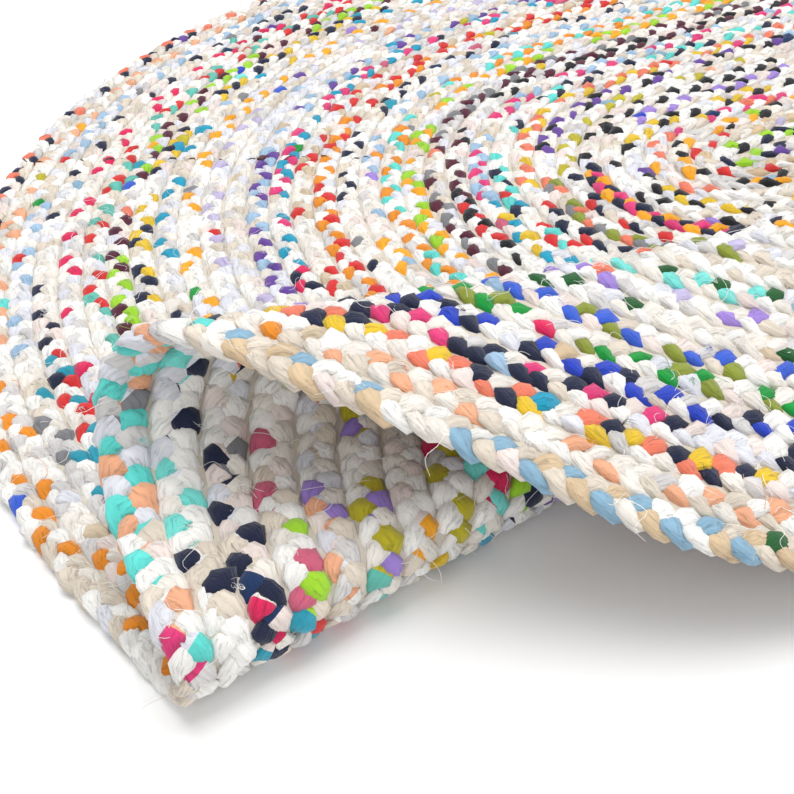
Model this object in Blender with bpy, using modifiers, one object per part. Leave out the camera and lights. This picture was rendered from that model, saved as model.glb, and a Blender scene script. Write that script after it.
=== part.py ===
"""An oval braided rug, flat on the floor, with one long side thrown back in an S fold.

Metres, +Z up. The rug's long axis is X, and the origin is the middle of its underside.
The side towards -Y lifts off the floor, turns over (the roll), goes back, turns over
again (the crest) and comes forward on top, so its free edge lies in front.
"""

from math import pi, radians

import bmesh
import bpy
import numpy as np

HALF_WIDTH = 0.61
HALF_STRAIGHT = 0.305  # half of the straight strip that the spiral is wound round
THICKNESS = 0.011
CORNER_FULLNESS = 0.095  # how far the folded corner stands out of a true half circle
CORNER_ANGLE = radians(42)
CORNER_SPREAD = radians(13.5)

FOLD_START = -0.12  # the y above which the rug is flat all along
COLUMNS = 30
FLAT_ROWS = 14
FOLDED_ROWS = 58

# Each bend runs across the rug from a first to a last line. The lines are given where they
# cross x = LEFT and x = RIGHT, and ease into their values at LAST towards the far end. The axis is
# the angle that the bend's axis makes with X, and the turn is positive where the sheet lifts.
LEFT, RIGHT, LAST, EASE = -0.85, -0.55, -0.38, 0.08
BENDS = (
    # first line's y     last line's y       axis  turn at      turn at
    # left    right      left    right             the left     the right   steps
    dict(first=(-0.245, -0.221), last=(-0.315, -0.284), axis=7, turn=(178, 191), steps=9),
    dict(first=(-0.360, -0.302), last=(-0.563, -0.422), axis=25, turn=(-166, -194), steps=10),
)


def smoothstep(low, high, x):
    """0 below low, 1 above high, and the usual cubic between them."""
    t = np.clip((x - low) / (high - low), 0, 1)
    return t * t * (3 - 2 * t)


def across(pair, x):
    """A value that runs straight from pair[0] at LEFT through pair[1] at RIGHT, and eases into
    its value at LAST over about EASE of length."""
    held = LAST - EASE * np.log1p(np.exp((LAST - x) / EASE))
    return pair[0] + (pair[1] - pair[0]) * (held - LEFT) / (RIGHT - LEFT)


def folded(x, y):
    """Where the flat rug's points (x, y) lie, as rows of X, Y, Z. Every bend is a fan of small
    turns, and each turns what lies beyond its line about the point of that line in the same
    column, so that a column keeps its length."""
    turns = []
    for bend in BENDS:
        first = across(bend["first"], x)
        last = across(bend["last"], x)
        turn = np.radians(across(bend["turn"], x)) / bend["steps"]
        axis = radians(bend["axis"]) * (1 - smoothstep(LAST, 0.8, x))
        for step in range(bend["steps"]):
            share = (step + 0.5) / bend["steps"]
            turns.append((first + (last - first) * share, axis, turn))

    px, py, pz = x.copy(), y.copy(), np.zeros_like(x)
    for line, axis, turn in reversed(turns):
        beyond = y < line
        along = (px - x) * np.cos(axis) + (py - line) * np.sin(axis)
        out = (line - py) * np.cos(axis) + (px - x) * np.sin(axis)
        turned_out = out * np.cos(turn) - pz * np.sin(turn)
        turned_up = out * np.sin(turn) + pz * np.cos(turn)
        px = np.where(beyond, x + along * np.cos(axis) + turned_out * np.sin(axis), px)
        py = np.where(beyond, line + along * np.sin(axis) - turned_out * np.cos(axis), py)
        pz = np.where(beyond, turned_up, pz)
    return np.stack([px, py, pz], axis=-1)


def left_end(y):
    """How far the half circle at the left reaches beyond its centre at height y: its radius is
    fuller round the folded corner, which lies CORNER_ANGLE below the long axis."""
    below = np.linspace(-pi / 2, pi / 2, 721)
    fuller = CORNER_FULLNESS * np.exp(-(((below - CORNER_ANGLE) / CORNER_SPREAD) ** 2))
    radius = HALF_WIDTH * (1 + fuller)
    return np.interp(-y, radius * np.sin(below), radius * np.cos(below))


def oval(across_share, y):
    """The flat rug's point at height y and at a share from its left edge (-1) to its right (1)."""
    left = HALF_STRAIGHT + left_end(y)
    right = HALF_STRAIGHT + np.sqrt(np.maximum(HALF_WIDTH**2 - y**2, 0))
    return (right - left) / 2 + across_share * (right + left) / 2


def rug_rows():
    """The y of every row of the sheet's grid: wide apart where it is flat, closer towards its
    far edge so that the outline is round, and close where it folds."""
    share = np.linspace(pi / 2, np.arcsin(FOLD_START / HALF_WIDTH), FLAT_ROWS + 1)[:-1]
    flat = HALF_WIDTH * np.sin(share)
    bent = np.linspace(FOLD_START, -HALF_WIDTH, FOLDED_ROWS)
    return np.concatenate([flat, bent])


def add_rug(collection):
    """The middle surface of the rug as a grid, which Solidify makes into the sheet."""
    rows = rug_rows()
    grid = bmesh.new()
    bmesh.ops.create_grid(grid, x_segments=COLUMNS, y_segments=len(rows) - 1, size=1)
    mesh = bpy.data.meshes.new("rug")
    grid.to_mesh(mesh)
    grid.free()

    corners = np.empty(len(mesh.vertices) * 3)
    mesh.vertices.foreach_get("co", corners)
    corners = corners.reshape(-1, 3)
    row = np.rint((1 - corners[:, 1]) / 2 * (len(rows) - 1)).astype(int)
    y = rows[row]
    x = oval(corners[:, 0], y)
    laid = folded(x, y)
    laid[:, 2] += THICKNESS / 2
    mesh.vertices.foreach_set("co", laid.ravel())
    mesh.update()

    rug = bpy.data.objects.new("rug", mesh)
    collection.objects.link(rug)
    sheet = rug.modifiers.new("Sheet", "SOLIDIFY")
    sheet.thickness = THICKNESS
    sheet.offset = 0
    sheet.use_even_offset = True
    mesh.shade_smooth()
    mesh.materials.append(braided_cotton())
    return rug


def braided_cotton():
    """Off-white cotton rag, matt, with no coloured strips at this size."""
    material = bpy.data.materials.new("braided_cotton")
    material.use_nodes = True
    shader = material.node_tree.nodes["Principled BSDF"]
    shader.inputs["Base Color"].default_value = (0.68, 0.64, 0.59, 1)
    shader.inputs["Roughness"].default_value = 0.9
    shader.inputs["Metallic"].default_value = 0
    return material


for left_over in list(bpy.data.objects):
    bpy.data.objects.remove(left_over)

braided_rug = bpy.data.collections.new("braided_rug")
bpy.context.scene.collection.children.link(braided_rug)
add_rug(braided_rug)
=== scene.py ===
"""An oval braided rug of cotton rag, one long side folded back over itself in an S fold.

Every strand of the braid is there: each is laid as a tube along the rounds of the flat rug,
and the whole flat rug is then folded the way the rug lies.
"""

import bpy
import numpy as np
from mathutils import Matrix


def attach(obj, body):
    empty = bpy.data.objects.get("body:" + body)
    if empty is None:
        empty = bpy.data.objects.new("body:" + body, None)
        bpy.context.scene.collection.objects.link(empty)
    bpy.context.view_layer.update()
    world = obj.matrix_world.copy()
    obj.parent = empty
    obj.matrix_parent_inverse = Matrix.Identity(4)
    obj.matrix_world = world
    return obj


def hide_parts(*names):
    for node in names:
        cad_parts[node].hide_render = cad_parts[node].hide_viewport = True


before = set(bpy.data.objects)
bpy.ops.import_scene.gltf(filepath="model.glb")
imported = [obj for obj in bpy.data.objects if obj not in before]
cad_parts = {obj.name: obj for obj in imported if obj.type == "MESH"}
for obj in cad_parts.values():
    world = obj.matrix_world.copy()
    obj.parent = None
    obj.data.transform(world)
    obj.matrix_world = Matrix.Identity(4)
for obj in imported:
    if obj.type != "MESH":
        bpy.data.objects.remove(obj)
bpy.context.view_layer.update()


# --- The lie of the sheet ---
# The laced oval is soft enough to fold. Its side towards -Y lifts off the floor, turns over (the
# roll), goes back, turns over again (the crest), and comes forward on top. Everything below is
# laid out on the flat oval first and folded together.

HALF_WIDTH = 0.61
HALF_STRAIGHT = 0.305
MIDDLE = 0.0055  # height of the sheet's middle surface above the floor
CORNER_FULLNESS = 0.095  # how far the folded corner stands out of a true half circle
CORNER_ANGLE, CORNER_SPREAD = np.radians(42), np.radians(13.5)

# Each bend runs across the rug from a first to a last line. The lines are given where they cross
# x = LEFT and x = RIGHT, and ease into their values at LAST towards the far end. The axis is the
# angle that the bend's axis makes with X, and the turn is positive where the sheet lifts.
LEFT, RIGHT, LAST, EASE = -0.85, -0.55, -0.38, 0.08
AXES_LEVEL = 0.8  # the x where the bends' axes have eased into the rug's long axis
BENDS = (
    # first line's y     last line's y       axis  turn at      turn at
    # left    right      left    right             the left     the right   steps
    dict(first=(-0.245, -0.221), last=(-0.315, -0.284), axis=7, turn=(178, 191), steps=9),
    dict(first=(-0.360, -0.302), last=(-0.563, -0.422), axis=25, turn=(-166, -194), steps=10),
)
ROLL, CREST = (-0.280, -0.252), (-0.461, -0.362)  # middle lines, at LEFT and RIGHT
FINER = 3  # each bend's steps are cut into this many, so that the strands curve smoothly


def smoothstep(low, high, x):
    """0 below low, 1 above high, and the usual cubic between them."""
    t = np.clip((x - low) / (high - low), 0, 1)
    return t * t * (3 - 2 * t)


def across(pair, x):
    """A value that runs straight from pair[0] at LEFT through pair[1] at RIGHT, and eases into
    its value at LAST over about EASE of length."""
    held = LAST - EASE * np.log1p(np.exp((LAST - x) / EASE))
    return pair[0] + (pair[1] - pair[0]) * (held - LEFT) / (RIGHT - LEFT)


def folded(x, y):
    """Where the flat rug's points (x, y) lie. Every bend is a fan of small turns, and each
    turns what lies beyond its line about the point of that line in the same column."""
    turns = []
    for bend in BENDS:
        steps = bend["steps"] * FINER
        first = across(bend["first"], x)
        last = across(bend["last"], x)
        turn = np.radians(across(bend["turn"], x)) / steps
        axis = np.radians(bend["axis"]) * (1 - smoothstep(LAST, AXES_LEVEL, x))
        for step in range(steps):
            turns.append((first + (last - first) * (step + 0.5) / steps, axis, turn))

    px, py, pz = x.copy(), y.copy(), np.zeros_like(x)
    for line, axis, turn in reversed(turns):
        beyond = y < line
        along = (px - x) * np.cos(axis) + (py - line) * np.sin(axis)
        out = (line - py) * np.cos(axis) + (px - x) * np.sin(axis)
        turned_out = out * np.cos(turn) - pz * np.sin(turn)
        turned_up = out * np.sin(turn) + pz * np.cos(turn)
        px = np.where(beyond, x + along * np.cos(axis) + turned_out * np.sin(axis), px)
        py = np.where(beyond, line + along * np.sin(axis) - turned_out * np.cos(axis), py)
        pz = np.where(beyond, turned_up, pz)
    return np.stack([px, py, pz + MIDDLE], axis=-1)


def unit(v):
    """v / |v|, row by row."""
    return v / np.maximum(np.linalg.norm(v, axis=-1, keepdims=True), 1e-9)


def surface(x, y):
    """(point, upward normal, X direction, Y direction) of the folded sheet's middle surface at
    the flat rug's points (x, y), from differences over 2 mm."""
    step = 0.001
    along_x = folded(x + step, y) - folded(x - step, y)
    along_y = folded(x, y + step) - folded(x, y - step)
    return folded(x, y), unit(np.cross(along_x, along_y)), unit(along_x), unit(along_y)


# --- The colours of the rag ---
# The strips are torn from old cotton shirting and sheeting and joined end to end. Most are
# off-white, and each round has one to three coloured strips, which show where they come to the
# top of the braid.

COLOURS = dict(
    milk="FAF8F4", bone="F1EBE2", oat="E2D6C6", ash="DAD7D6", mist="E6E7EF", blush="F1E2DC",
    coral="EE7F63", navy="1B2340", sky="A3C3E0", lavender="C6BCE0", mauve="B285B4", red="DB2F30",
    teal="2B9CB4", crimson="E0245C", jade="63BFB0", lime="A2D932", maroon="561A33",
    purple="6A46A0", yellow="EAC431", cyan="1C9FC2", amber="FDAE22", pink="E43C7C",
    beige="D6C3A8", orange="F09328", turquoise="62DCD3", grey="85868A", black="17181F",
    mustard="C4B82A", lilac="A588DC", tan="D9BF9C", rose="D0637F", peach="F2B08A",
    olive="8E9A38", green="0C9A3C", forest="1C5E2C", cobalt="3860D2", royal="2644C2",
    indigo="16335E", chambray="8CB3CC", aqua="7CE6DD",
)  # fmt: skip
WHITES = ("milk", "milk", "milk", "milk", "bone", "bone", "mist", "oat", "ash", "blush")

ROUNDS = (
    # far half of the flat   near part of the flat   underside, on the roll    top, on the flap
    ("coral navy", "oat orange", "turquoise peach", "oat chambray tan"),
    ("peach oat", "orange ash", "navy aqua", "peach bone oat"),
    ("mist sky", "grey teal", "navy", "navy coral yellow"),
    ("navy", "red teal", "rose lime", "navy navy pink"),
    ("crimson", "crimson", "lilac peach", "navy royal"),
    ("jade red", "jade", "mustard lilac", "green olive"),
    ("maroon lime", "lime maroon", "cyan", "cobalt olive"),
    ("navy yellow", "navy yellow", "mustard crimson", "forest"),
    ("cyan", "cyan navy", "crimson aqua", "lavender mist lilac"),
    ("amber", "amber", "navy lime", "forest aqua"),
    ("lavender", "mist", "purple", "milk"),
    ("mist", "lavender", "black red", "olive"),
    ("sky purple", "mist purple", "navy red", "navy orange"),
    ("pink cyan", "crimson navy", "grey beige", "navy amber pink"),
    ("red beige", "red beige", "beige", "red"),
    ("red orange", "red orange", "grey", "grey yellow coral"),
    ("navy", "navy", "navy", "navy red"),
    ("sky", "sky amber", "sky", "sky"),
    ("turquoise orange", "turquoise orange", "teal", "teal"),
    ("amber lime", "amber lime", "amber", "amber"),
    ("maroon grey", "maroon grey", "grey", "grey"),
    ("black maroon", "black red", "grey", "grey"),
    ("pink sky", "cyan yellow", "pink", "pink"),
    ("turquoise navy", "turquoise red", "navy", "navy"),
    ("coral yellow", "navy red", "coral", "coral"),
    ("black purple", "grey coral olive", "black", "black"),
    ("mustard", "navy red", "mustard", "mustard"),
    ("black", "navy amber pink", "black", "black"),
    ("black lilac", "black", "black", "black"),
    ("black yellow", "black yellow", "black", "black"),
    ("coral pink", "coral", "coral", "coral"),
    ("amber black", "amber black", "amber", "amber"),
    ("red tan", "red tan", "red", "red"),
    ("navy yellow", "lime navy", "navy", "navy"),
)
FULL_ROUND = 28  # the round that shows no off-white on the near part of the flat
FLAT_NEAR = 0.05  # the y below which the flat has the colours of its near part
CURL, CURL_ROUNDS = -0.70, 2  # left of this x, so many of the flap's rounds are as on the roll
SHOWN = 0.57  # share of a coloured strip's turns that show its colour, not its pale back
WHITE_RUN = 7  # half plaits for which one off-white strip lasts
RUN_SHARE = 0.6  # share of the off-white lobes that keep to their run
STRAY = 0.03  # share of the lobes that come from some other strip


def to_linear(code):
    """An sRGB hex colour as linear red, green and blue: ((c + 0.055) / 1.055)^2.4 above 0.04."""
    c = np.array([int(code[i : i + 2], 16) for i in (0, 2, 4)]) / 255
    return np.where(c <= 0.04045, c / 12.92, ((c + 0.055) / 1.055) ** 2.4)


PALETTE = np.array([to_linear(code) for code in COLOURS.values()])
INDEX = {name: i for i, name in enumerate(COLOURS)}


# --- The path of the braid ---
# One long braid is wound flat, inwards from the right end, round an oval of straight sides and
# half circles, each round laced to the one before. It starts in a taper and ends at the middle
# of the rug.

QUARTER = np.pi / 2
TURNS = 34
BRAID_WIDTH = 0.0179
PLAIT = 0.036  # length of one full plait, after which the strands are back in their order
TAPER = (-0.005, 0.07)  # turns over which the braid grows to its full width
SPREAD = 5  # how many times faster than the radius the braid widens at the fuller corner
FADE = 4  # power of r / R by which the fuller corner dies out towards the middle


def braid_width(turn):
    """Width of the braid at a turn: a taper at the very start, then the same throughout."""
    return BRAID_WIDTH * smoothstep(*TAPER, turn)


def inset(turn):
    """Distance from the rug's edge to the braid's outer side: the widths of the rounds outside
    it, at the same place, added up."""
    total = np.zeros_like(turn)
    for back in range(1, TURNS + 1):
        total += np.where(turn - back >= 0, braid_width(np.maximum(turn - back, 0)), 0)
    return total


def fullness(below):
    """Share by which the left half circle is fuller at an angle below the long axis:
    CORNER_FULLNESS times a bell curve about CORNER_ANGLE."""
    return CORNER_FULLNESS * np.exp(-(((below - CORNER_ANGLE) / CORNER_SPREAD) ** 2))


def path(turn):
    """(x, y, heading angle, width) of the braid's middle line: middle + r (1 + fullness
    (r / R)^FADE) along the angle, and wider by SPREAD times the fullness. A round is six equal
    shares: the upper quarter at the right, the far side, the left half circle in two, the near
    side and the lower quarter at the right."""
    width = braid_width(turn)
    radius = HALF_WIDTH - inset(turn) - width / 2
    share = (turn % 1) * 6
    part = [share < 1, share < 2, share < 4, share < 5]
    level = 0 * share
    angle = np.select(
        part,
        [share * QUARTER, QUARTER + level, (share - 1) * QUARTER, 3 * QUARTER + level],
        (share - 2) * QUARTER,
    )
    middle = np.select(part, [1 + level, 1 - 2 * (share - 1), level - 1, 2 * (share - 4) - 1], 1)
    fuller = fullness(angle - np.pi)
    fuller = np.where(middle <= 0, fuller * (radius / HALF_WIDTH) ** FADE, 0)
    x = middle * HALF_STRAIGHT + radius * (1 + fuller) * np.cos(angle)
    y = radius * (1 + fuller) * np.sin(angle)
    return x, y, angle + QUARTER, width * (1 + SPREAD * fuller)


# --- The braid ---
# Three strips of washed cotton rag, each folded lengthwise into a soft flat strand, go over and
# under each other and are pulled tight. A strand swings to the side as sin(t) and up and down as
# sin(2t), a third of a plait apart. The mesh is in eight parts, finer where the rug folds.

SIDE_SWING, STRAND_HALF_WIDTH = 0.275, 0.30  # of the braid's width
RISE = 0.0020
STRAND_HALF_HEIGHT = 0.0033
WAIST = 0.66  # a strand's share of its full width where it passes under the next
FLAT_TOP = 0.75  # power that squares the strand's round section a little
CRUMPLE = 0.075  # share by which the folds of the rag move its surface in and out
UV_ROUND = 4.4  # length of a strand's section over its half width
HIDDEN = 0.35  # a strip's colour changes this much before it comes up, where it is covered
PULLS = 9  # places in a round where the braider's pull changes
PULL_CHANGE = 0.05  # share by which the pull lengthens or shortens the plaits
LOBE_CHANGE, LOBE_LIFT, LOBE_SHIFT = 0.17, 0.0005, 0.0006  # spread of their size and place
UNLIKE = 7.3  # metres between the strands' places in the cloth's pattern

chance = np.random.default_rng(33)
fine_turn = np.linspace(0, TURNS - 0.05, 60001)  # stops short of the middle, where it is sewn in
line_x, line_y, _, _ = path(fine_turn)
lengths = np.hypot(np.diff(line_x), np.diff(line_y))
pulls = 1 + PULL_CHANGE * chance.normal(size=TURNS * PULLS)
tension = np.interp(fine_turn, np.arange(TURNS * PULLS), pulls)
fine_phase = np.concatenate([[0], np.cumsum(lengths / tension[1:])]) * 2 * np.pi / PLAIT
fine_length = np.concatenate([[0], np.cumsum(lengths)])
lobes = int(fine_phase[-1] / QUARTER) + 8
lobe_size = 1 + LOBE_CHANGE * chance.normal(size=(3, lobes))
lobe_lift = LOBE_LIFT * chance.normal(size=(3, lobes))
lobe_shift = LOBE_SHIFT * chance.normal(size=(3, lobes))
FAR, NEAR, ON_ROLL, ON_FLAP = range(4)  # the columns of ROUNDS


def strip_colours(strand):
    """Palette index of each half plait of a strand: one turn on top of the rug and the next one
    underneath. The round and the place on the fold choose the strips."""
    number = np.arange(lobes // 2)
    phase = (number + 0.5) * 2 * QUARTER - strand * 2 * np.pi / 3
    turn = np.interp(phase, fine_phase, fine_turn)
    x, y, _, _ = path(turn)
    roll = across(ROLL, x)
    crest = across(CREST, x)
    place = np.select([y < crest, y < roll, y < FLAT_NEAR], [ON_FLAP, ON_ROLL, NEAR], FAR)
    round_number = np.clip(turn.astype(int), 0, TURNS - 1)
    curled = (place == ON_FLAP) & (x < CURL) & (round_number < CURL_ROUNDS)
    place = np.where(curled, ON_ROLL, place)
    table = np.full((TURNS, 4, 3), -1)  # -1 is an off-white strip
    for row, cells in enumerate(ROUNDS):
        for column, cell in enumerate(cells):
            for slot, name in enumerate(cell.split()):
                table[row, column, slot] = INDEX[name]
    colour = table[round_number, place, strand]
    whites = np.array([INDEX[name] for name in WHITES])
    runs = whites[chance.integers(len(whites), size=len(number) // WHITE_RUN + 1)]
    long_run = runs[number // WHITE_RUN]
    short_run = whites[chance.integers(len(whites), size=len(number))]
    white = np.where(chance.random(len(number)) < RUN_SHARE, long_run, short_run)
    shown = np.where((round_number == FULL_ROUND - 1) & (place == NEAR), 1, SHOWN)
    colour = np.where((colour < 0) | (chance.random(len(number)) > shown), white, colour)
    stray = chance.random(len(number)) < STRAY
    return np.where(stray & (shown < 1), chance.integers(len(COLOURS), size=len(number)), colour)


colours_of = [strip_colours(strand) for strand in range(3)]


def strand_tube(strand, first, last, steps, sides):
    """(vertices, quads, colours, UVs) of one strand between two turns. Each ring of vertices is
    centre + sideways * half width * cos(a) + up * half height * sin(a)^FLAT_TOP, both crumpled."""
    ends = np.interp([first, last], fine_turn, fine_phase)
    count = max(int(round((ends[1] - ends[0]) / (2 * np.pi) * steps)), 2)
    phase = np.linspace(ends[0], ends[1], count + 1)
    turn = np.interp(phase, fine_phase, fine_turn)
    own = phase + strand * 2 * np.pi / 3
    x, y, heading, width = path(turn)
    number = own / QUARTER - 0.5
    known = np.arange(lobes)
    size = np.interp(number, known, lobe_size[strand])
    scale = np.clip(width / BRAID_WIDTH, 0.25, None) ** 0.5
    swing = SIDE_SWING * width * np.sin(own) + np.interp(number, known, lobe_shift[strand])
    rise = RISE * scale * np.sin(2 * own) + np.interp(number, known, lobe_lift[strand])
    point, up, _, _ = surface(x - swing * np.sin(heading), y + swing * np.cos(heading))
    centre = point + up * rise[:, None]
    ahead = unit(np.gradient(centre, axis=0))
    sideways = unit(np.cross(up, ahead))
    upward = np.cross(ahead, sideways)
    full = WAIST + (1 - WAIST) * np.abs(np.sin(2 * own))
    half_width = STRAND_HALF_WIDTH * width * size * full
    half_height = STRAND_HALF_HEIGHT * scale * (0.5 + 0.5 * size) * (0.5 + 0.5 * full)

    a = 2 * np.pi * (np.arange(sides) + 0.5) / sides
    crumple = chance.normal(size=(count + 1, sides))
    crumple = 1 + CRUMPLE * (crumple + np.roll(crumple, 1, 0) + np.roll(crumple, 1, 1))
    flat_top = np.sign(np.sin(a)) * np.abs(np.sin(a)) ** FLAT_TOP
    ring = sideways[:, None] * (np.cos(a) * half_width[:, None] * crumple)[..., None]
    ring = ring + upward[:, None] * (flat_top * half_height[:, None] * crumple)[..., None]
    vertices = (centre[:, None] + ring).reshape(-1, 3)

    here = (np.arange(count)[:, None] * sides + np.arange(sides)).ravel()
    beside = (np.arange(count)[:, None] * sides + (np.arange(sides) + 1) % sides).ravel()
    quads = np.stack([here, here + sides, beside + sides, beside], axis=-1)
    middle_of = (own[:-1] + own[1:]) / 2
    colour = PALETTE[colours_of[strand][((middle_of + HIDDEN) / (2 * QUARTER)).astype(int)]]
    colour = np.repeat(colour, sides, axis=0)
    start = np.interp(turn, fine_turn, fine_length) + strand * UNLIKE
    u = np.repeat(np.stack([start[:-1], start[1:], start[1:], start[:-1]], -1), sides, axis=0)
    v = np.tile(np.arange(sides), count)[:, None] + np.array([0, 0, 1, 1])
    v = v / sides * UV_ROUND * STRAND_HALF_WIDTH * BRAID_WIDTH
    return vertices, quads, colour, np.stack([u, v], axis=-1)


def make_mesh(name, vertices, quads, colour, uv, material):
    """A smooth mesh with a colour for each face, kept on its corners, and a UV map in metres."""
    mesh = bpy.data.meshes.new(name)
    mesh.vertices.add(len(vertices))
    mesh.vertices.foreach_set("co", vertices.astype(np.float32).ravel())
    mesh.loops.add(quads.size)
    mesh.loops.foreach_set("vertex_index", quads.astype(np.int32).ravel())
    mesh.polygons.add(len(quads))
    mesh.polygons.foreach_set("loop_start", np.arange(len(quads), dtype=np.int32) * 4)
    mesh.update(calc_edges=True)
    mesh.shade_smooth()
    corner = np.repeat(np.concatenate([colour, np.ones((len(colour), 1))], -1), 4, axis=0)
    layer = mesh.color_attributes.new("rag", "FLOAT_COLOR", "CORNER")
    layer.data.foreach_set("color", corner.astype(np.float32).ravel())
    mesh.uv_layers.new(name="strip").data.foreach_set("uv", uv.astype(np.float32).ravel())
    mesh.materials.append(material)
    piece = bpy.data.objects.new(name, mesh)
    bpy.context.scene.collection.objects.link(piece)
    return piece


def add_node(material, kind, links=(), **settings):
    """A node with its input values and properties set, and links from other nodes' outputs given
    as (input, node, output)."""
    node = material.node_tree.nodes.new(kind)
    for name, value in settings.items():
        if hasattr(node, name):
            setattr(node, name, value)
        else:
            node.inputs[name.replace("_", " ")].default_value = value
    for into, source, output in links:
        material.node_tree.links.new(node.inputs[into], source.outputs[output])
    return node


def rag_cotton():
    """Soft washed cotton strips, folded lengthwise and pulled tight: matt, with a little fuzz.
    The creases are 1.5 mm apart and 7 mm long, bumped and also darkened in the colour as painted
    shade; the faded and soiled patches are about 18 mm across, and the plain weave has 0.7 mm
    threads, coarser than real so that they show."""
    material = bpy.data.materials.new("washed_cotton_rag")
    material.use_nodes = True
    shader = material.node_tree.nodes["Principled BSDF"]
    shader.inputs["Roughness"].default_value = 0.88
    shader.inputs["Sheen Weight"].default_value = 0.25
    shader.inputs["Sheen Roughness"].default_value = 0.5
    shader.inputs["Specular IOR Level"].default_value = 0.25
    rag = add_node(material, "ShaderNodeAttribute", attribute_name="rag")
    uv = add_node(material, "ShaderNodeUVMap", uv_map="strip")
    stretched = add_node(material, "ShaderNodeMapping", [("Vector", uv, "UV")], Scale=(150, 640, 1))
    creases = add_node(
        material, "ShaderNodeTexNoise", [("Vector", stretched, "Vector")],
        Scale=1.0, Detail=6.0, Roughness=0.62, Distortion=0.9,
    )  # fmt: skip
    place = add_node(material, "ShaderNodeTexCoord")
    patches = add_node(
        material, "ShaderNodeTexNoise", [("Vector", place, "Object")], Scale=55.0, Detail=2.0
    )
    weave = add_node(
        material, "ShaderNodeTexNoise", [("Vector", place, "Object")], Scale=1400.0, Detail=1.0
    )
    # painted shade: along the creases the colour is darkened to 0.66 of the rag's own
    shade = add_node(
        material, "ShaderNodeMapRange", [("Value", creases, "Fac")],
        From_Min=0.35, From_Max=0.46, To_Min=0.66, To_Max=1.0,
    )  # fmt: skip
    fade = add_node(
        material, "ShaderNodeMapRange", [("Value", patches, "Fac")],
        From_Min=0.3, From_Max=0.7, To_Min=0.86, To_Max=1.06,
    )  # fmt: skip
    both = add_node(
        material, "ShaderNodeMath", [(0, shade, "Result"), (1, fade, "Result")], operation="MULTIPLY"
    )
    # the rag's colour times its random fade and soiling and the painted crease shade
    fade_and_crease_shade = add_node(
        material, "ShaderNodeVectorMath", [(0, rag, "Color"), (1, both, "Value")], operation="MULTIPLY"
    )
    crease_bump = add_node(
        material, "ShaderNodeBump", [("Height", creases, "Fac")], Strength=0.8, Distance=0.002
    )
    weave_bump = add_node(
        material, "ShaderNodeBump", [("Height", weave, "Fac"), ("Normal", crease_bump, "Normal")],
        Strength=0.35, Distance=0.0003,
    )  # fmt: skip
    material.node_tree.links.new(shader.inputs["Base Color"], fade_and_crease_shade.outputs["Vector"])
    material.node_tree.links.new(shader.inputs["Normal"], weave_bump.outputs["Normal"])
    return material


def braid_piece(name, spans, steps, sides, material):
    """All three strands over a list of (first turn, last turn) as one mesh."""
    parts = [strand_tube(strand, a, b, steps, sides) for a, b in spans for strand in range(3)]
    offsets = np.cumsum([0] + [len(part[0]) for part in parts[:-1]])
    vertices = np.concatenate([part[0] for part in parts])
    quads = np.concatenate([part[1] + offset for part, offset in zip(parts, offsets)])
    colour = np.concatenate([part[2] for part in parts])
    uv = np.concatenate([part[3] for part in parts])
    return make_mesh(name, vertices, quads, colour, uv, material)


def spans_of(rounds, first, last):
    """(first turn, last turn) of the same sixths of each of those rounds, up to the braid's end."""
    return [(n + first / 6, min(n + last / 6, TURNS - 0.051)) for n in rounds]


cotton = rag_cotton()
braids = [
    # name, rounds and sixths of a round, rings of vertices in a plait, sides of a strand
    braid_piece("braid_fold_edge", spans_of(range(0, 4), 2.62, 4.35), 12, 12, cotton),
    braid_piece("braid_fold_outer", spans_of(range(4, 10), 2.62, 4.35), 10, 9, cotton),
    braid_piece("braid_fold_inner", spans_of(range(10, 20), 2.62, 4.35), 9, 7, cotton),
    braid_piece("braid_left_outer", spans_of(range(0, 20), 1.15, 2.62), 8, 6, cotton),
    braid_piece("braid_left_inner", spans_of(range(20, TURNS), 1.15, 4.75), 7, 6, cotton),
    braid_piece("braid_front", spans_of(range(0, 20), 4.35, 4.75), 6, 6, cotton),
    braid_piece("braid_right_front", spans_of(range(TURNS), 4.75, 6), 6, 4, cotton),
    braid_piece("braid_right_back", spans_of(range(TURNS), 0, 1.15), 6, 4, cotton),
]
for piece in braids:
    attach(piece, "root")


# --- Loose threads ---
# The strips are torn, not hemmed, so cotton threads work loose along them: single long ones, and
# short tufts at a strip's end. Each leaves the braid and curls, its root held between strands.

THREAD_POINTS = 8
ROOT = 0.0045  # height above the sheet's middle at which a thread leaves the braid
FAN = 0.35  # spread of the directions in a tuft, in radians
CURL_SIDE, BOW_SIDE = 0.22, 0.10  # sideways bends of a thread, for its length


def thread_lines(point, side, along_x, along_y, aim, lengths_m, lift):
    """Points of each thread: start + side * (ROOT + lift * length * sin(0.8 pi s)) + ahead *
    length * (s - s^2 / 4) + beside * length * (curl s^2 + bow sin(2 pi s)), s from 0 to 1."""
    total = len(point)
    ahead = along_x * np.cos(aim) + along_y * np.sin(aim)
    beside = np.cross(side, ahead)
    length = chance.uniform(*lengths_m, total)[:, None, None]
    s = np.linspace(0, 1, THREAD_POINTS)[None, :, None]
    curl, bow = chance.normal(size=(2, total, 1, 1))
    height = chance.uniform(0.1, 1, (total, 1, 1)) * lift * length * np.sin(np.pi * s * 0.8)
    line = point[:, None] + side[:, None] * (ROOT + height)
    line = line + ahead[:, None] * length * (s - 0.25 * s**2)
    bends = CURL_SIDE * curl * s**2 + BOW_SIDE * bow * np.sin(2 * np.pi * s)
    return line + beside[:, None] * length * bends


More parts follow.
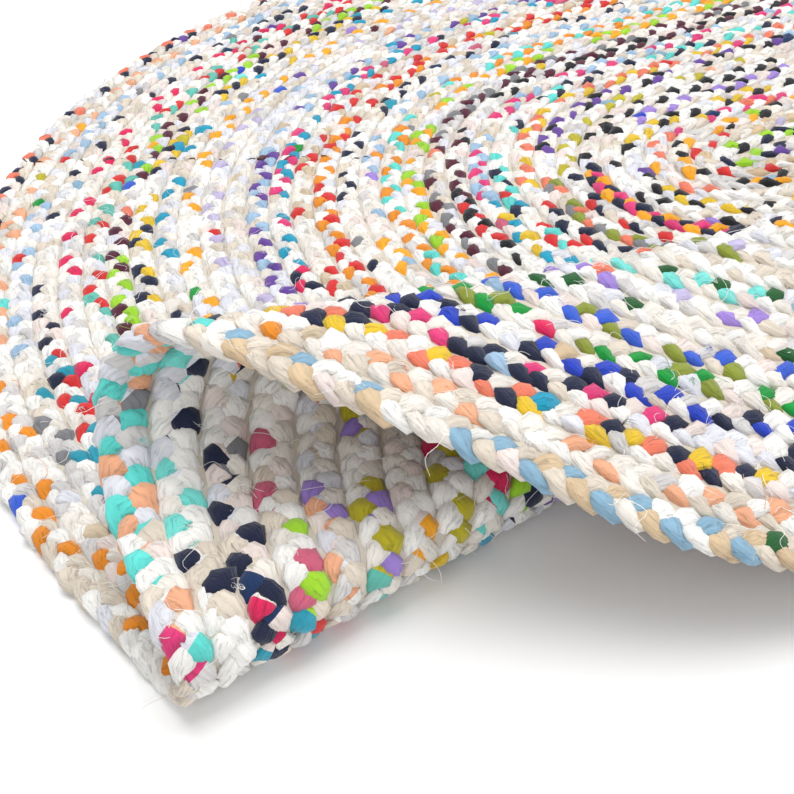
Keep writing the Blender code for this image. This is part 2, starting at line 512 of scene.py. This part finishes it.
def thread_tubes(line, side, radius):
    """(vertices, quads) of a three-sided tube along each line, half as thick at its end."""
    tangent = unit(np.gradient(line, axis=1))
    normal = unit(np.cross(tangent, side[:, None] + 0.01))
    binormal = np.cross(tangent, normal)
    a = 2 * np.pi * np.arange(3) / 3
    thin = radius * (1 - 0.5 * np.linspace(0, 1, THREAD_POINTS)[None, :, None])
    round_it = normal[:, :, None] * np.cos(a)[:, None] + binormal[:, :, None] * np.sin(a)[:, None]
    tube = line[:, :, None] + thin[..., None] * round_it
    number = np.arange(tube[..., 0].size).reshape(tube.shape[:3])
    beside_of = np.roll(number, -1, 2)
    quads = np.stack([number[:, :-1], beside_of[:, :-1], beside_of[:, 1:], number[:, 1:]], -1)
    return tube.reshape(-1, 3), quads.reshape(-1, 4)


def loose_threads(count, places, lengths_m, radius, lift, strands_each, own_colour):
    """(vertices, quads, colours) of threads that start on the visible side of the braid at
    random turns within places, a list of (first, last) turns."""
    low, high = np.array(places).T
    span = chance.integers(len(places), size=count)
    turn = low[span] + (high - low)[span] * chance.random(count)
    x, y, heading, width = path(turn)
    off = width * chance.uniform(-0.45, 0.45, count)
    x, y = x - off * np.sin(heading), y + off * np.cos(heading)
    point, up, along_x, along_y = surface(x, y)
    under = (y < across(ROLL, x)) & (y > across(CREST, x))
    side = np.where(under, -1.0, 1.0)[:, None] * up

    point, side, along_x, along_y = (
        np.repeat(v, strands_each, 0) for v in (point, side, along_x, along_y)
    )
    total = count * strands_each
    aim = chance.uniform(0, 2 * np.pi, total)[:, None]
    if strands_each > 1:
        tuft = np.repeat(chance.uniform(0, 2 * np.pi, count), strands_each)[:, None]
        aim = tuft + FAN * chance.normal(size=(total, 1))
    line = thread_lines(point, side, along_x, along_y, aim, lengths_m, lift)
    vertices, quads = thread_tubes(line, side, radius)
    phase = np.interp(turn, fine_turn, fine_phase)
    choice = np.where(
        chance.random(count) < own_colour,
        colours_of[0][((phase + HIDDEN) / (2 * QUARTER)).astype(int)],
        INDEX["milk"],
    )
    colour = np.repeat(PALETTE[np.repeat(choice, strands_each)], len(quads) // total, axis=0)
    return vertices, quads, colour


near = spans_of(range(0, 14), 2.7, 4.3)
threads = []
for name, count, span, radius, lift, each, own_colour in (
    # name, number, lengths, radius, lift for the length, threads in each, share in the strip's colour
    ("long_threads", 760, (0.008, 0.034), 0.00019, 0.22, 1, 0.12),
    ("torn_tufts", 160, (0.003, 0.010), 0.00014, 0.45, 6, 0.4),
):
    vertices, quads, colour = loose_threads(count, near, span, radius, lift, each, own_colour)
    threads.append(make_mesh(name, vertices, quads, colour, np.zeros((len(quads) * 4, 2)), cotton))
for piece in threads:
    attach(piece, "root")


# --- The sewn ground ---
# The cotton lacing thread pulls the rounds together into one sheet. It shows only as a pale
# floor to the grooves between the braids, so it is a thin sheet in the middle of their
# thickness, which ends inside the outermost braid.

GROUND_THICKNESS = 0.002
GROUND_HALF_WIDTH = HALF_WIDTH - 0.008
FOLD_START = -0.12  # the y above which the rug is flat all along


def left_end(y):
    """How far the half circle at the left reaches beyond its centre at height y: the outline
    r (1 + fullness) is read off at that height."""
    below = np.linspace(-np.pi / 2, np.pi / 2, 721)
    radius = GROUND_HALF_WIDTH * (1 + fullness(below))
    return np.interp(-y, radius * np.sin(below), radius * np.cos(below))


def ground_mesh(columns, flat_rows, folded_rows):
    """The flat oval as a grid of rows, folded, with a top and an underside GROUND_THICKNESS
    apart and a rim that closes them."""
    half = GROUND_HALF_WIDTH
    share = np.linspace(np.pi / 2, np.arcsin(FOLD_START / half), flat_rows + 1)[:-1]
    rows = np.concatenate([half * np.sin(share), np.linspace(FOLD_START, -half, folded_rows)])
    left = HALF_STRAIGHT + left_end(rows)
    right = HALF_STRAIGHT + np.sqrt(np.maximum(half**2 - rows**2, 0))
    share = np.linspace(0, 1, columns)
    x = -left[:, None] + share * (left + right)[:, None]
    y = np.repeat(rows[:, None], columns, axis=1)
    point, up, _, _ = surface(x, y)
    half_up = GROUND_THICKNESS / 2 * up
    vertices = np.concatenate([(point + half_up).reshape(-1, 3), (point - half_up).reshape(-1, 3)])
    number = np.arange(x.size).reshape(x.shape)
    quads = np.stack([number[:-1, :-1], number[1:, :-1], number[1:, 1:], number[:-1, 1:]], -1)
    quads = quads.reshape(-1, 4)
    rim = np.concatenate([number[:-1, 0], number[-1, :-1], number[:0:-1, -1], number[0, :0:-1]])
    ahead = np.roll(rim, -1)
    edge = np.stack([rim, rim + x.size, ahead + x.size, ahead], axis=-1)
    quads = np.concatenate([quads, quads[:, ::-1] + x.size, edge])
    return vertices, quads


vertices, quads = ground_mesh(80, 24, 100)
ground_colour = np.tile(to_linear("CFC6B8"), (len(quads), 1))
no_uv = np.zeros((len(quads) * 4, 2))
ground = make_mesh("sewn_ground", vertices, quads, ground_colour, no_uv, cotton)
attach(ground, "root")
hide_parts("rug")


# --- Floor, light and camera ---
# A pale studio floor that runs out of view, a broad soft light from above, two weak ones in
# front, and the camera low over the folded corner.

FLOOR_HALF, FLOOR_TOP = 6, -0.0006


def add_floor():
    """A plain pale floor, 12 m square, a hair below the rug's underside."""
    mesh = bpy.data.meshes.new("floor")
    corners = [(x * FLOOR_HALF, y * FLOOR_HALF, FLOOR_TOP) for x, y in ((-1, -1), (1, -1), (1, 1), (-1, 1))]
    mesh.from_pydata(corners, [], [(0, 1, 2, 3)])
    material = bpy.data.materials.new("pale_studio_floor")
    material.use_nodes = True
    shader = material.node_tree.nodes["Principled BSDF"]
    shader.inputs["Base Color"].default_value = (0.96, 0.96, 0.96, 1)
    shader.inputs["Roughness"].default_value = 0.9
    mesh.materials.append(material)
    floor = bpy.data.objects.new("floor", mesh)
    bpy.context.scene.collection.objects.link(floor)
    return floor


def placed(axes, place):
    """The 4 x 4 matrix with those columns as its axes and place as its origin."""
    return Matrix([[*row, p] for row, p in zip(axes, place)] + [[0, 0, 0, 1]])


def add_light(name, energy, size, place, target):
    """A square area light at place, turned towards target."""
    data = bpy.data.lights.new(name, "AREA")
    data.energy = energy
    data.size = size
    lamp = bpy.data.objects.new(name, data)
    back = unit(np.array(place) - np.array(target))
    side = unit(np.cross((0, 0, 1), back) + np.array([1e-6, 0, 0]))
    up = np.cross(back, side)
    lamp.matrix_world = placed(np.stack([side, up, back], axis=1), place)
    bpy.context.scene.collection.objects.link(lamp)
    return lamp


def add_camera(place, heading, pitch, roll, lens):
    """A camera at place that looks along the heading (from +Y towards +X) and pitch down, rolled
    so that the scene turns anticlockwise by roll. Angles in degrees."""
    h, p, r = np.radians([heading, pitch, roll])
    right = np.array([np.cos(h), -np.sin(h), 0])
    ahead = np.array([np.sin(h), np.cos(h), 0])
    up = ahead * np.sin(p) + np.array([0, 0, np.cos(p)])
    back = -(ahead * np.cos(p) - np.array([0, 0, np.sin(p)]))
    rolled_right = right * np.cos(r) - up * np.sin(r)
    rolled_up = right * np.sin(r) + up * np.cos(r)
    camera = bpy.data.objects.new("camera", bpy.data.cameras.new("camera"))
    camera.data.lens = lens
    camera.data.sensor_width = 36
    axes = np.stack([rolled_right, rolled_up, back], axis=1)
    camera.matrix_world = placed(axes, place)
    bpy.context.scene.collection.objects.link(camera)
    bpy.context.scene.camera = camera


lamps = [
    add_light("sky_panel", 64, 2.2, (-0.3, 0.3, 2.6), (-0.3, 0, 0)),
    add_light("front_panel", 6, 1.6, (-1.6, -1.8, 1.5), (-0.5, -0.2, 0)),
    add_light("low_panel", 9, 1.0, (0.9, -1.7, 0.7), (-0.2, -0.6, 0)),
]
world = bpy.data.worlds.new("studio")
bpy.context.scene.world = world
world.use_nodes = True
world.node_tree.nodes["Background"].inputs["Color"].default_value = (1, 1, 1, 1)
world.node_tree.nodes["Background"].inputs["Strength"].default_value = 0.55
bpy.context.scene.view_settings.view_transform = "Standard"
add_floor()
add_camera((-0.8836, -0.5834, 0.4332), 24.13, 39.94, 5.416, 48.84)
